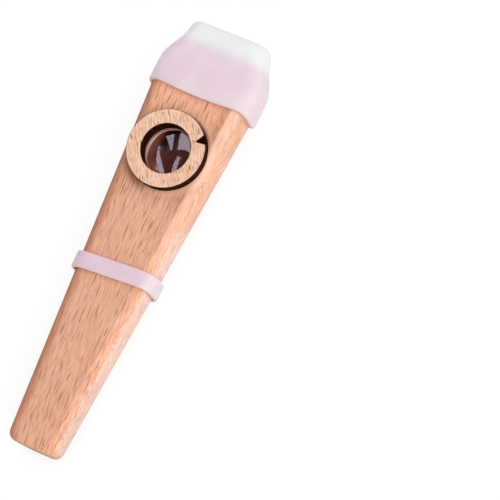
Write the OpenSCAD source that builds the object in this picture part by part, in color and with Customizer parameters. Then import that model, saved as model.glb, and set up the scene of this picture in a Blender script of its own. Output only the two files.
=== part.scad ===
// A flat wooden kazoo lying on its back. The outlet end points to -X, the silicone mouthpiece to +X,
// and the membrane ring faces +Z. The origin is under the middle of the whole, at the level it rests on.
// Stations are distances from the outlet end, and heights are measured from the back of the wood.

/* [Wooden body] */
// Length of the wooden block
wood_len = 120; // [116:1:130]
// Width at the outlet end
outlet_w = 15; // [14:0.5:18]
// Width from the mouthpiece's rim on
mouth_w = 29; // [28:0.5:33]
// Thickness at the outlet end
outlet_t = 10; // [9.5:0.25:12]
// Thickness from the mouthpiece's rim on
mouth_t = 13.5; // [13:0.25:16]
// Radius of the long edges at the outlet end
outlet_edge_r = 3; // [2:0.25:4]
// Radius of the long edges from the mouthpiece's rim on
mouth_edge_r = 4; // [3:0.25:4.5]
// Radius of the outlet end's corners, seen from the front
end_corner_r = 2.5; // [1:0.25:3]
// Radius of the outlet end's front and back edges
end_break_r = 0.5; // [0.3:0.1:0.9]
// Length of the nose that draws in under the mouthpiece
nose_len = 7.5; // [6:0.5:9]
// How far the nose draws in at each side
nose_side_in = 3.5; // [2.5:0.25:4]
// How far the nose draws in at the front and at the back
nose_face_in = 2; // [1.5:0.25:2.25]

/* [Airway] */
// Diameter of the outlet bore
outlet_bore_d = 6.4; // [5:0.2:7]
// Depth of the outlet bore, as far as the air chamber
outlet_bore_len = 48; // [40:1:60]
// Width of the air chamber
chamber_w = 15.6; // [13:0.2:17]
// Height of the air chamber
chamber_h = 6.2; // [5:0.2:6.6]

/* [Membrane seat] */
// Distance from the mouthpiece's rim to the middle of the membrane hole
port_from_rim = 16.7; // [15:0.1:25]
// Diameter of the hole from the seat down to the air chamber
port_d = 14.2; // [12:0.2:15]
// Diameter of the seat sunk into the front
seat_d = 19; // [18:0.2:20]

/* [Membrane] */
// Width of the membrane's plastic ring, from its edge to its opening
carrier_rim_w = 2.4; // [2:0.1:3]
// Thickness of the membrane's plastic ring
carrier_t = 0.8; // [0.6:0.1:1]
// Thickness of the film
film_t = 0.15; // [0.1:0.05:0.25]

/* [Wooden ring] */
// Diameter of the ring's flange
ring_d = 22.4; // [21.4:0.2:24]
// Width of the flange, from its edge to the opening through it
ring_rim_w = 4.1; // [3.6:0.1:5]
// Thickness of the flange
ring_t = 3.5; // [3:0.1:4]
// Width of the spigot glued under the flange, from its edge to its opening
spigot_rim_w = 2.3; // [1.8:0.1:3]
// Thickness of the spigot
spigot_t = 1.5; // [1.2:0.1:1.8]
// Depth of the pry notch in the flange
notch_depth = 2.6; // [2:0.1:3]
// Width of the pry notch at the flange's edge
notch_w = 2.6; // [2:0.1:3.5]
// Turn of the pry notch from the mouthpiece's direction
notch_turn = -56; // [-180:1:180]

/* [Mouthpiece] */
// Length of wood that the mouthpiece covers
grip_len = 14.5; // [12:0.5:16]
// Thickness of the mouthpiece's skirt
skirt_t = 1.27; // [1:0.01:1.6]
// Length of the mouthpiece past the end of the wood
tip_len = 7; // [5:0.1:9]
// Width of the mouthpiece's tip
tip_w = 24.6; // [22:0.2:26]
// Thickness of the mouthpiece's tip
tip_t = 10.8; // [9.6:0.2:12]
// Radius of the tip's corners, seen from its end
tip_corner_r = 4.4; // [3.5:0.1:4.7]
// Rounding of the tip's outer edge
tip_round_r = 2.2; // [1:0.1:2.4]
// Rounding of the rim and of the slot's edge
lip_round_r = 0.45; // [0.3:0.05:0.6]
// Width of the blowing slot
slot_w = 15; // [12:0.5:17]
// Height of the blowing slot
slot_h = 5.2; // [4.6:0.2:6]
// How far the rim draws back at its corners
rim_dip = 1.4; // [0:0.1:2]

/* [Band] */
// Distance from the ring's edge to the band's middle
band_from_ring = 25.1; // [10:0.1:50]
// Width of the band along the wood
band_w = 4.8; // [3:0.2:8]
// Thickness of the band
band_t = 1.25; // [1:0.05:1.4]
// Rounding of the band's outer edges
band_round_r = 0.4; // [0.2:0.05:0.5]
// Turn of the band from square across the wood
band_skew = 4.6; // [0:0.2:8]
// Lean of the band's back towards the outlet end
band_lean = 3.5; // [0:0.5:6]

/* [Fits] */
// Gap all round between the seat and the spigot
seat_gap = 0.1; // [0.05:0.01:0.2]
// Gap between the silicone and the wood
silicone_gap = 0.1; // [0.05:0.05:0.3]
// Gap between faces that lie on each other
face_gap = 0.05; // [0.02:0.01:0.1]

/* [Hidden] */
$fn = 96;
overrun = 1;
wood_steps = 14;
silicone_steps = 8;
side_steps = 4;
end_steps = 8;
nose_steps = 5;
round_steps = 3;
nose_curve_share = 1.4;
QUARTER = [for (k = [0:round_steps]) 90 * k / round_steps];

overall_len = wood_len + tip_len;
rest_h = silicone_gap + skirt_t;
rim_at = wood_len - grip_len;
shoulder_at = wood_len - nose_len;
port_at = rim_at - port_from_rim;
band_at = port_at - ring_d / 2 - band_from_ring;
face_tilt = atan((mouth_t - outlet_t) / rim_at);
airway_tilt = atan((mouth_t - outlet_t) / 2 / rim_at);
carrier_d = seat_d - 2 * seat_gap;
carrier_bore_d = carrier_d - 2 * carrier_rim_w;
spigot_d = seat_d - 2 * seat_gap;
spigot_bore_d = spigot_d - 2 * spigot_rim_w;
ring_bore_d = ring_d - 2 * ring_rim_w;
seat_depth = spigot_t + film_t + carrier_t + face_gap;

// Points round a round-cornered outline, each as its place between the corners and its outward direction
function around(arc, side) = [
    for (corner = [0:3])
        let (start = 90 * corner, from = corner_place(corner), to = corner_place(corner + 1))
            each concat(
                [for (k = [0:arc]) [from[0], from[1], cos(start + 90 * k / arc), sin(start + 90 * k / arc)]],
                [for (k = [1:1:side - 1]) concat(from + (to - from) * k / side, [cos(start + 90), sin(start + 90)])]
            )
];
function corner_place(corner) = [corner % 4 == 0 || corner % 4 == 3 ? 1 : -1, corner % 4 < 2 ? 1 : -1];
WOOD_AROUND = around(wood_steps, 1);
SILICONE_AROUND = around(silicone_steps, side_steps);

// The outline's point a at station x, with half width w, half thickness t and corner radius r about height z
function outline_point(a, x, w, t, r, z) = [x, a[0] * (w - r) + a[2] * r, z + a[1] * (t - r) + a[3] * r];

function tail(list) = [for (k = [1:len(list) - 1]) list[k]];

// Share of the taper that is reached at station x
function taper(x) = min(x / rim_at, 1);
// Share of the nose's drawing in that is reached at station x
function nose(x) = pow(max(x - shoulder_at, 0) / nose_len, nose_curve_share);
// How far a round of radius r draws in at distance x from its start
function drawn_in(r, x) = x < r ? r - sqrt(r * r - (r - x) * (r - x)) : 0;
function thickness(x) = outlet_t + (mouth_t - outlet_t) * taper(x);
function half_w(x) = (outlet_w + (mouth_w - outlet_w) * taper(x)) / 2 - nose_side_in * nose(x);
function half_t(x) = thickness(x) / 2 - nose_face_in * nose(x);
function edge_r(x) = outlet_edge_r + (mouth_edge_r - outlet_edge_r) * taper(x);

// The point a of a surface that stands off the wood by d at station x
function skin_point(a, x, d) = outline_point(a, x, half_w(x) + d, half_t(x) + d, edge_r(x) + d, thickness(x) / 2);
function skin(table, x, d) = [for (a = table) skin_point(a, x, d)];

// A skin through rings of points that run alike, with flat ends
module loft(rings) {
    n = len(rings[0]);
    last = len(rings) - 1;
    polyhedron(
        points = [for (ring = rings) each ring],
        faces = concat(
            [[for (i = [0:n - 1]) i]],
            strips(n, last, len(rings)),
            [[for (i = [0:n - 1]) last * n + n - 1 - i]]
        )
    );
}

// A skin through rings of points that run alike, where the last ring meets the first again
module loop_loft(rings) {
    polyhedron(points = [for (ring = rings) each ring], faces = strips(len(rings[0]), len(rings), len(rings)));
}

function strips(n, count, total) = [
    for (k = [0:count - 1], i = [0:n - 1])
        let (j = (i + 1) % n, a = k * n, b = (k + 1) % total * n)
            each [[a + i, b + j, a + j], [a + i, b + i, b + j]]
];

// Moves what is modelled from the outlet end and the back of the wood to the part's own origin
module placed() {
    translate([-overall_len / 2, 0, rest_h])
        children();
}

// Turns what is modelled on a level plane to the front's slope, about the middle of the membrane hole
module on_front() {
    translate([port_at, 0, thickness(port_at)])
        rotate([0, -face_tilt, 0])
            children();
}

module block() {
    end_stations = [for (k = [0:end_steps]) end_corner_r * (1 - cos(90 * k / end_steps))];
    nose_stations = [for (k = [0:nose_steps]) shoulder_at + nose_len * k / nose_steps];
    loft(concat(
        [for (x = end_stations) [
            for (a = WOOD_AROUND)
                outline_point(a, x, half_w(x) - drawn_in(end_corner_r, x), half_t(x) - drawn_in(end_break_r, x),
                    edge_r(x), thickness(x) / 2)
        ]],
        [skin(WOOD_AROUND, rim_at, 0)],
        [for (x = nose_stations) skin(WOOD_AROUND, x, 0)]
    ));
}

module chamber() {
    length = wood_len - outlet_bore_len + overrun;
    flat = chamber_w - chamber_h;
    translate([0, -flat / 2, -chamber_h / 2])
        cube([length, flat, chamber_h]);
    for (side = [-1, 1])
        translate([0, side * flat / 2, 0])
            rotate([0, 90, 0])
                cylinder(h = length, d = chamber_h);
}

module airway() {
    translate([0, 0, outlet_t / 2])
        rotate([0, -airway_tilt, 0]) {
            translate([-overrun, 0, 0])
                rotate([0, 90, 0])
                    cylinder(h = outlet_bore_len + 2 * overrun, d = outlet_bore_d);
            translate([outlet_bore_len, 0, 0])
                chamber();
        }
}

module wooden_body() {
    color("burlywood")
        placed()
            difference() {
                block();
                airway();
                on_front() {
                    translate([0, 0, -seat_depth])
                        cylinder(h = seat_depth + overrun, d = seat_d);
                    translate([0, 0, -thickness(port_at) / 2])
                        cylinder(h = thickness(port_at), d = port_d);
                }
            }
}

// A flat ring whose underside lies at height z over the front
module washer(z, h, outer_d, inner_d) {
    translate([0, 0, z])
        difference() {
            cylinder(h = h, d = outer_d);
            translate([0, 0, -overrun])
                cylinder(h = h + 2 * overrun, d = inner_d);
        }
}

module ring_flange() {
    apex = ring_d / 2 - notch_depth;
    mouth = ring_d / 2 + overrun;
    half_mouth = notch_w / 2 * (mouth - apex) / notch_depth;
    color("wheat")
        placed()
            on_front()
                difference() {
                    washer(face_gap, ring_t, ring_d, ring_bore_d);
                    rotate([0, 0, notch_turn])
                        translate([0, 0, -overrun])
                            linear_extrude(height = ring_t + 2 * overrun)
                                polygon([[apex, 0], [mouth, -half_mouth], [mouth, half_mouth]]);
                }
}

module ring_spigot() {
    color("saddlebrown")
        placed()
            on_front()
                washer(face_gap - spigot_t, spigot_t, spigot_d, spigot_bore_d);
}

module membrane_carrier() {
    color("white")
        placed()
            on_front()
                washer(-spigot_t - film_t - carrier_t, carrier_t, carrier_d, carrier_bore_d);
}

module membrane_film() {
    color("rosybrown", 0.5)
        placed()
            on_front()
                translate([0, 0, -spigot_t - film_t])
                    cylinder(h = film_t, d = carrier_d);
}

// Shares of the way from the shoulder to the tip, then of the drawing in at the sides, the front and the back
SHOULDER_SHARES = [
    [0, 0, 0, 0], [0.15, 0.03, 0.15, 0], [0.3, 0.14, 0.38, 0.01], [0.45, 0.33, 0.64, 0.06], [0.6, 0.56, 0.86, 0.25],
    [0.75, 0.78, 0.97, 0.54], [0.9, 0.94, 1, 0.84], [1, 1, 1, 1]
];

module mouthpiece() {
    table = SILICONE_AROUND;
    wall = silicone_gap + skirt_t;
    skirt_w = half_w(shoulder_at) + wall;
    skirt_half_t = half_t(shoulder_at) + wall;
    skirt_r = edge_r(shoulder_at) + wall;
    mid = mouth_t / 2;
    run = overall_len - tip_round_r - shoulder_at;
    // Draws the rim back where the outline turns its corners
    function dipped(ring) = [
        for (p = ring) p + [rim_dip * pow(p[1] / skirt_w * (p[2] - mid) / skirt_half_t, 2), 0, 0]
    ];
    function rim(x, d) = dipped([
        for (a = table) outline_point(a, x, skirt_w - d, skirt_half_t - d, skirt_r - d, mid)
    ]);
    function shoulder(share) =
        let (
            w = skirt_w + (tip_w / 2 - skirt_w) * share[1],
            front = mid + skirt_half_t + (tip_t / 2 - skirt_half_t) * share[2],
            back = mid - skirt_half_t - (tip_t / 2 - skirt_half_t) * share[3],
            r = skirt_r + (tip_corner_r - skirt_r) * share[2]
        )
            [for (a = table) outline_point(a, shoulder_at + run * share[0], w, (front - back) / 2, r, (front + back) / 2)];
    function tip(x, d) = [
        for (a = table) outline_point(a, x, tip_w / 2 - d, tip_t / 2 - d, tip_corner_r - d, mid)
    ];
    function slot(x, d) = [
        for (a = table) outline_point(a, x, slot_w / 2 + d, slot_h / 2 + d, slot_h / 2 + d, mid)
    ];
    function cavity(x) = [for (p = skin(table, x, silicone_gap)) p + [silicone_gap, 0, 0]];
    color("mistyrose", 0.8)
        placed()
            loop_loft(concat(
                [for (q = QUARTER) rim(rim_at + lip_round_r * (1 - cos(q)), lip_round_r * (1 - sin(q)))],
                [for (share = SHOULDER_SHARES) shoulder(share)],
                [for (q = tail(QUARTER)) tip(overall_len - tip_round_r * (1 - sin(q)), tip_round_r * (1 - cos(q)))],
                [for (q = QUARTER) slot(overall_len - lip_round_r * (1 - cos(q)), lip_round_r * (1 - sin(q)))],
                [slot(wood_len + silicone_gap, 0)],
                [for (k = [nose_steps:-1:0]) cavity(shoulder_at + nose_len * k / nose_steps)],
                [dipped(skin(table, rim_at, silicone_gap))]
            ));
}

module band() {
    profile = concat(
        [for (q = QUARTER) [band_round_r * (1 - cos(q)) - band_w / 2, band_t - band_round_r * (1 - sin(q))]],
        [for (q = QUARTER) [band_w / 2 - band_round_r * (1 - sin(q)), band_t - band_round_r * (1 - cos(q))]],
        [[band_w / 2, 0], [-band_w / 2, 0]]
    );
    color("thistle", 0.8)
        placed()
            loop_loft([
                for (p = profile) [
                    for (a = SILICONE_AROUND)
                        let (
                            middle = skin_point(a, band_at, silicone_gap),
                            height = middle[2] - thickness(band_at) / 2,
                            x = band_at + p[0] - middle[1] * tan(band_skew) + height * tan(band_lean)
                        )
                            skin_point(a, x, silicone_gap + p[1])
                ]
            ]);
}

wooden_body();
ring_flange();
ring_spigot();
membrane_carrier();
membrane_film();
mouthpiece();
band();
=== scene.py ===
"""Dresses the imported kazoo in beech, film and silicone, with a camera, soft lamps and a sheet of paper.

Lengths are metres in the CAD's frame: X runs along the body to the mouthpiece, Y to its left side, and Z up
out of the front, which carries the ring.
"""
import math

import bmesh
import bpy
import numpy as np
from mathutils import Euler, Matrix, Vector


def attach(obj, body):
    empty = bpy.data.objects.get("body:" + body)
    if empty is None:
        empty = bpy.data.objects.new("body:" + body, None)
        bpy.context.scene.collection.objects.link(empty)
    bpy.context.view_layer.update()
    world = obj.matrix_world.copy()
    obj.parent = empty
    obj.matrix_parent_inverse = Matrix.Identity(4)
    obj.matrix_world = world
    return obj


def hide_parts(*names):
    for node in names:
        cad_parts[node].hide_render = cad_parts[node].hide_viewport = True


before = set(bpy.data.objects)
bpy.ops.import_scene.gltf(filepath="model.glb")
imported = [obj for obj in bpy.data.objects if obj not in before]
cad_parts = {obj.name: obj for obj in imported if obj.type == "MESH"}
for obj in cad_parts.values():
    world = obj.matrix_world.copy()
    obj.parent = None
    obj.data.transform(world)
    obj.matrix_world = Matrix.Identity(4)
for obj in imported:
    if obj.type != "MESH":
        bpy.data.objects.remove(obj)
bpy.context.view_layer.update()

MM = 0.001
WHITE = (1.0, 1.0, 1.0, 1.0)
BLACK = (0.0, 0.0, 0.0, 1.0)
TO_LEFT = (0, 1, 0)
TO_RIGHT = (0, -1, 0)
TO_MOUTH = (1, 0, 0)
TO_OUTLET = (-1, 0, 0)

# The front's slope, and the middle of the membrane hole on it
FRONT_MIDDLE = Vector((25.3, 0, 14.316)) * MM
FRONT_TILT = math.radians(1.9001)
FRONT_NORMAL = (-math.sin(FRONT_TILT), 0, math.cos(FRONT_TILT))
ON_FRONT = Matrix.Translation(FRONT_MIDDLE) @ Matrix.Rotation(-FRONT_TILT, 4, "Y")
OFF_FRONT = ON_FRONT.inverted()

# The wooden body's taper, from the outlet end
OUTLET_X = -63.5 * MM
TAPER_LEN = 105.5 * MM
OUTLET_HALF_W = 7.5 * MM
MOUTH_HALF_W = 14.5 * MM
OUTLET_T = 10 * MM
MOUTH_T = 13.5 * MM
OUTLET_EDGE_R = 3 * MM
MOUTH_EDGE_R = 4 * MM
BACK_Z = 1.37 * MM
WOOD_END_X = 56.5 * MM

# The ring on the front, and the seat sunk under it
RING_BORE_R = 7.1 * MM
RING_R = 11.2 * MM
SEAT_REACH = 9.6 * MM
SEAT_BELOW = 0.05 * MM


def mm(*sizes):
    """Millimetres as metres."""
    return tuple(size * MM for size in sizes)


def shade(red, green, blue):
    """A colour as a painter reads it off a screen, 0 to 255, made linear for a shader."""
    parts = (red / 255, green / 255, blue / 255)
    linear = [c / 12.92 if c <= 0.04045 else ((c + 0.055) / 1.055) ** 2.4 for c in parts]
    return (*linear, 1.0)


# Nodes, in any tree and in a finish

# The colour sockets of a Mix node, which has others of the same names
MIX_SHARE, MIX_A, MIX_B = 0, 6, 7
MIX_RESULT = 2

# Strokes of the grain: how far they tilt, how far rows of cells are shifted, how much of a cell's width their
# middles wander over, how far they reach to each side in cells, and how thin their ends are
STROKE_TILT = 0.1
ROW_SHIFT = 7.0
STROKE_WANDER = 0.6
STROKE_REACH = (0.2, 0.49)
STROKE_TIP = 0.2


def feed(tree, socket, value):
    """Sets a socket to a value, or links it to another node's output."""
    if isinstance(value, bpy.types.NodeSocket):
        tree.links.new(value, socket)
    else:
        socket.default_value = value


def add_node(tree, kind, inputs=None, **settings):
    """A new node, with its settings, and with its inputs fed by name or by number."""
    made = tree.nodes.new(kind)
    for name, value in settings.items():
        setattr(made, name, value)
    for name, value in (inputs or {}).items():
        feed(tree, made.inputs[name], value)
    return made


class Finish:
    """A material on one Principled shader, with short calls for the nodes that the finishes share."""

    def __init__(self, name, **plain):
        """plain holds what is the same all over, by the shader's socket names."""
        self.material = bpy.data.materials.new(name)
        self.material.use_nodes = True
        self.tree = self.material.node_tree
        self.shader = self.tree.nodes["Principled BSDF"]
        self.drive(**plain)
        self.place = self.node("TexCoord").outputs["Object"]

    def drive(self, **inputs):
        """Feeds the shader's sockets, by name with _ for each space."""
        for name, value in inputs.items():
            feed(self.tree, self.shader.inputs[name.replace("_", " ")], value)
        return self

    def node(self, kind, inputs=None, **settings):
        """A new shader node."""
        return add_node(self.tree, "ShaderNode" + kind, inputs, **settings)

    def axes(self):
        """The place along, across and up the body."""
        return self.node("SeparateXYZ", {0: self.place}).outputs

    def stretched(self, cell, place=None, turn=(0, 0, 0), shift=(0, 0, 0)):
        """Coordinates in which a pattern's cell measures cell along X, Y and Z, after a turn in degrees."""
        turned = self.node("Mapping", {
            "Vector": place or self.place, "Rotation": [math.radians(t) for t in turn], "Location": shift,
        }, vector_type="POINT").outputs[0]
        return self.node("VectorMath", {0: turned, 1: [1 / c for c in cell]}, operation="MULTIPLY").outputs[0]

    def noise(self, cell, detail=2.0, rough=0.5, **where):
        """Soft noise from 0 to 1, mostly near a half."""
        return self.node("TexNoise", {
            "Vector": self.stretched(cell, **where), "Scale": 1.0, "Detail": detail, "Roughness": rough,
        }).outputs[0]

    def maths(self, operation, a, b=0.0, c=0.0):
        """One step of arithmetic."""
        return self.node("Math", {0: a, 1: b, 2: c}, operation=operation).outputs[0]

    def overlap(self, first, *others):
        """The product of several shares, which is high only where all of them are."""
        for other in others:
            first = self.maths("MULTIPLY", first, other)
        return first

    def step(self, value, low, high, bottom=0.0, top=1.0):
        """Goes smoothly from bottom to top while value goes from low to high."""
        return self.node("MapRange", {
            "Value": value, "From Min": low, "From Max": high, "To Min": bottom, "To Max": top,
        }, interpolation_type="SMOOTHSTEP").outputs[0]

    def mix(self, share, a, b, how="MIX"):
        """Goes from a to b by a share, both of them colours or numbers."""
        inputs = {MIX_SHARE: share, MIX_A: a, MIX_B: b}
        return self.node("Mix", inputs, data_type="RGBA", blend_type=how).outputs[MIX_RESULT]

    def tinted(self, share, colour, tint):
        """Multiplies a colour's red, green and blue by a tint's, so that its grain keeps its contrast."""
        return self.mix(share, colour, (*tint, 1.0), "MULTIPLY")

    def flecks(self, cell, smallest, largest, soft, **where):
        """Spindle-shaped marks of uneven size, one to a cell, as 0 to 1."""
        cells = self.node("TexVoronoi", {
            "Vector": self.stretched(cell, **where), "Scale": 1.0, "Randomness": 1.0,
        }, feature="F1")
        pick = self.node("SeparateColor", {0: cells.outputs["Color"]}).outputs[0]
        reach = self.step(pick, 0.0, 1.0, smallest, largest)
        return self.step(self.maths("SUBTRACT", reach, cells.outputs["Distance"]), 0.0, soft)

    def contours(self, cell, count, thin, top, **how):
        """Curving lines, as growth rings make where they come out at a face, as 0 to top."""
        folded = self.maths("PINGPONG", self.maths("MULTIPLY", self.noise(cell, **how), count), 0.5)
        return self.step(folded, thin, 0.5, 0.0, top)

    def strokes(self, round_it, quarter, cell, share, half_w, seed):
        """Fine strokes of uneven length along X in a share of the cells, as 0 to 1.

        round_it goes round the section, and quarter tells its four quarters apart.
        """
        length, width = cell
        lane = self.maths("DIVIDE", round_it, width)
        row = self.maths("FLOOR", lane)
        row_and_seed = self.node("CombineXYZ", {0: row, 1: seed}).outputs[0]
        start = self.node("TexWhiteNoise", {"Vector": row_and_seed}, noise_dimensions="2D").outputs["Value"]
        run = self.maths("MULTIPLY_ADD", self.axes()[0], 1 / length, self.maths("MULTIPLY", start, ROW_SHIFT))
        column = self.maths("FLOOR", run)
        cell_place = self.node("CombineXYZ", {0: column, 1: row, 2: quarter}).outputs[0]
        picks = self.node("TexWhiteNoise", {"Vector": cell_place, "W": seed}, noise_dimensions="4D")
        chosen, aside, size = self.node("SeparateColor", {0: picks.outputs["Color"]}).outputs[:3]
        from_middle = self.maths("SUBTRACT", self.maths("FRACT", run), 0.5)
        tilt = self.maths("MULTIPLY", self.maths("SUBTRACT", aside, 0.5), STROKE_TILT * length / width)
        level = self.maths("MULTIPLY_ADD", tilt, from_middle, (1 - STROKE_WANDER) / 2)
        line = self.maths("MULTIPLY_ADD", aside, STROKE_WANDER, level)
        off_line = self.maths("ABSOLUTE", self.maths("SUBTRACT", self.maths("FRACT", lane), line))
        reach = self.step(size, 0.0, 1.0, *STROKE_REACH)
        run_out = self.maths("DIVIDE", self.maths("ABSOLUTE", from_middle), reach)
        swell = self.step(run_out, 0.2, 1.0, 1.0, 0.0)
        tip = STROKE_TIP * half_w / width
        half = self.maths("MULTIPLY_ADD", swell, half_w / width - tip, tip)
        mark = self.step(self.maths("DIVIDE", off_line, half), 0.5, 1.5, 1.0, 0.0)
        mark = self.overlap(mark, self.step(run_out, 0.6, 1.0, 1.0, 0.0))
        return self.overlap(mark, self.maths("LESS_THAN", chosen, share))

    def from_hole(self, along, across):
        """How far a place is from the axis of the membrane hole, seen from the front."""
        ahead = self.maths("SUBTRACT", along, FRONT_MIDDLE.x)
        square = self.maths("MULTIPLY_ADD", ahead, ahead, self.maths("MULTIPLY", across, across))
        return self.maths("SQRT", square)

    def bump(self, height, depth, strength):
        """A normal that follows a height from 0 to 1, which stands for a depth."""
        return self.node("Bump", {"Height": height, "Distance": depth, "Strength": strength}).outputs[0]

    def facing(self, direction, of="Normal"):
        """How far the surface faces a direction, from -1 to 1."""
        normal = self.node("NewGeometry").outputs[of]
        turned = self.node("VectorTransform", {0: normal}, vector_type="NORMAL",
                           convert_from="WORLD", convert_to="OBJECT").outputs[0]
        return self.node("VectorMath", {0: turned, 1: direction}, operation="DOT_PRODUCT").outputs["Value"]


# The block's beech

# How far the grain leans across the body for each unit along it, and how that changes per metre
GRAIN_LEAN = 0.064
GRAIN_BEND = -0.3
# The share of the fine fibres in the grain, and its range from dark to light
FINE_SHARE = 0.7
GRAIN_RANGE = (0.36, 0.64)
# The level that the strokes are laid round
CORE_Z = 7.5 * MM
# How unevenly the right side starts, and how deep the grain's relief is
SIDE_WOBBLE = 0.35
RELIEF_DEPTH = 0.03 * MM

# The cells of the patterns: along, across and through the wood
FINE_CELL = mm(4.0, 0.16, 0.4)
FIBRE_CELL = mm(9, 0.5, 1.2)
GROWTH_CELL = mm(70, 3.2, 5)
CLOUD_CELL = mm(22, 6, 6)
FLAME_CELL = mm(34, 12, 5.5)
CURL_CELL = mm(8, 6, 2.8)
DASH_CELL = mm(2.6, 3, 0.36)
PORE_CELL = mm(6, 0.3, 0.3)
LAYER_CELL = mm(40, 9, 0.7)

# The strokes: their cell along and round the body, their half width and their seed
FAINT_STROKES = ((mm(4.6, 0.7), 0.1 * MM, 1.0), (mm(6.2, 0.9), 0.11 * MM, 2.0))
BOLD_STROKES = ((mm(7.4, 1.4), 0.1 * MM, 3.0), (mm(6.2, 1.9), 0.12 * MM, 4.0))
# The share of the cells that have one, and how much more it is at the ends
FAINT_SHARES = (0.5, 0.2)
BOLD_SHARES = (0.35, 0.22)

# The tones of the front, the rounded edge, the left edge in painted shade and the right side, and how much
# strokes show
FRONT_WOOD = {
    "dark": shade(214, 156, 128), "light": shade(239, 184, 157),
    "faint": shade(198, 134, 104), "faint_share": 0.75, "bold": shade(158, 88, 56), "bold_share": 0.95,
}
ROUNDED_WOOD = {
    "dark": shade(224, 158, 124), "light": shade(249, 194, 163),
    "faint": shade(206, 138, 102), "faint_share": 0.55, "bold": shade(178, 104, 70), "bold_share": 0.9,
}
# Painted shade on the left edge, which faces away from the lamps
LEFT_SHADED_WOOD = {
    "dark": shade(180, 114, 82), "light": shade(206, 142, 108),
    "faint": shade(166, 102, 72), "faint_share": 0.3, "bold": shade(140, 80, 54), "bold_share": 0.5,
}
# The right side's tones are paler partly in the wood itself and partly as painted light on the side that
# faces the lamps
SIDE_WOOD = {
    "dark": shade(240, 197, 177), "light": shade(252, 218, 203),
    "faint": shade(230, 178, 152), "faint_share": 0.6, "bold": shade(214, 154, 122), "bold_share": 0.7,
}

# Single tones
GROWTH_TONE = shade(221, 161, 130)
# Painted light on the rounded right edge
LIT_EDGE_TONE = shade(255, 205, 174)
FIGURE_TONE = shade(214, 154, 121)
DASH_TONE = shade(208, 146, 112)
# Painted shade along the turn of the left edge
EDGE_SHADE_LINE_TONE = shade(146, 90, 66)
END_TONES = (shade(196, 140, 110), shade(222, 170, 140))
PORE_TONE = shade(150, 98, 72)
# Painted light round the ring's foot, and painted shade from the ring on its right and left
GLEAM_TONES = (shade(255, 194, 154), shade(255, 216, 190))
RING_SHADE_RIGHT_TONE = shade(96, 50, 30)
RING_SHADE_LEFT_TONE = shade(132, 58, 8)

# Factors of red, green and blue
# Painted light on the front by the mouthpiece, where the mouthpiece's rim shades the wood
FRONT_LIT_BY_MOUTH = (1.16, 1.14, 1.1)
FRONT_BY_RIDGE = (0.7, 0.61, 0.52)
ROUNDED_BY_MOUTH = (1.0, 1.13, 1.24)
SIDE_ROUND_BAND = (1.05, 1.06, 1.08)
SIDE_BY_MOUTH = (1.0, 0.87, 0.74)
# Painted shade low on the right side, near the paper
SIDE_LOW_SHADE = (0.85, 0.97, 1.1)


class Beech(Finish):
    """The block's wood: how far a place is from the long edges, and the grain that all the faces share."""

    def __init__(self, name, **plain):
        super().__init__(name, **plain)
        self.along, self.across, self.height = self.axes()
        widening = (MOUTH_HALF_W - OUTLET_HALF_W) / TAPER_LEN
        half_w = self.maths("MULTIPLY_ADD", self.along, widening, OUTLET_HALF_W - OUTLET_X * widening)
        self.from_left = self.maths("SUBTRACT", half_w, self.across)
        self.from_right = self.maths("ADD", half_w, self.across)
        self.to_side = self.facing(TO_RIGHT)
        self.cloud = self.noise(CLOUD_CELL, shift=(0.2, 0.1, 0))
        bend = self.maths("MULTIPLY_ADD", self.along, GRAIN_BEND / 2, GRAIN_LEAN)
        slant = self.maths("SUBTRACT", self.across, self.maths("MULTIPLY", self.along, bend))
        self.lay_fibres(slant)
        self.lay_strokes(slant)

    def lay_fibres(self, slant):
        """Fine and coarse fibres, and the broad bands of growth, all along the leaning grain."""
        flow = self.node("CombineXYZ", {0: self.along, 1: slant, 2: self.height}).outputs[0]
        fine = self.noise(FINE_CELL, detail=1.5, place=flow)
        fibre = self.noise(FIBRE_CELL, rough=0.6, place=flow)
        self.growth = self.noise(GROWTH_CELL, place=flow)
        self.grain = self.maths("ADD", self.maths("MULTIPLY", fine, FINE_SHARE),
                                self.maths("MULTIPLY", fibre, 1 - FINE_SHARE))

    def lay_strokes(self, slant):
        """Faint and bold strokes of the rays, closer together towards both ends."""
        up = self.maths("SUBTRACT", self.height, CORE_Z)
        round_it = self.maths("SUBTRACT", self.maths("ABSOLUTE", slant), self.maths("ABSOLUTE", up))
        quarter = self.maths("MULTIPLY_ADD", self.maths("SIGN", slant), 2.0, self.maths("SIGN", up))
        by_outlet = self.step(self.along, *mm(-18, -45))
        by_mouth = self.step(self.along, *mm(22, 32), 0.0, 1.3)
        at_ends = self.maths("ADD", by_outlet, by_mouth)

        def layer(kinds, least, more):
            """Two sizes of strokes, in at least a share of their cells and in more of them at the ends."""
            share = self.maths("MULTIPLY_ADD", at_ends, more, least)
            sizes = []
            for cell, half_w, seed in kinds:
                sizes.append(self.strokes(round_it, quarter, cell, share, half_w, seed))
            return self.maths("MAXIMUM", *sizes)

        self.faint = layer(FAINT_STROKES, *FAINT_SHARES)
        self.bold = layer(BOLD_STROKES, *BOLD_SHARES)

    def fibred(self, dark, light, faint, faint_share, bold, bold_share):
        """A face's wood: fibres between two tones, with the strokes over them."""
        colour = self.mix(self.step(self.grain, *GRAIN_RANGE), dark, light)
        colour = self.mix(self.overlap(self.faint, faint_share), colour, faint)
        return self.mix(self.overlap(self.bold, bold_share), colour, bold)


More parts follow.
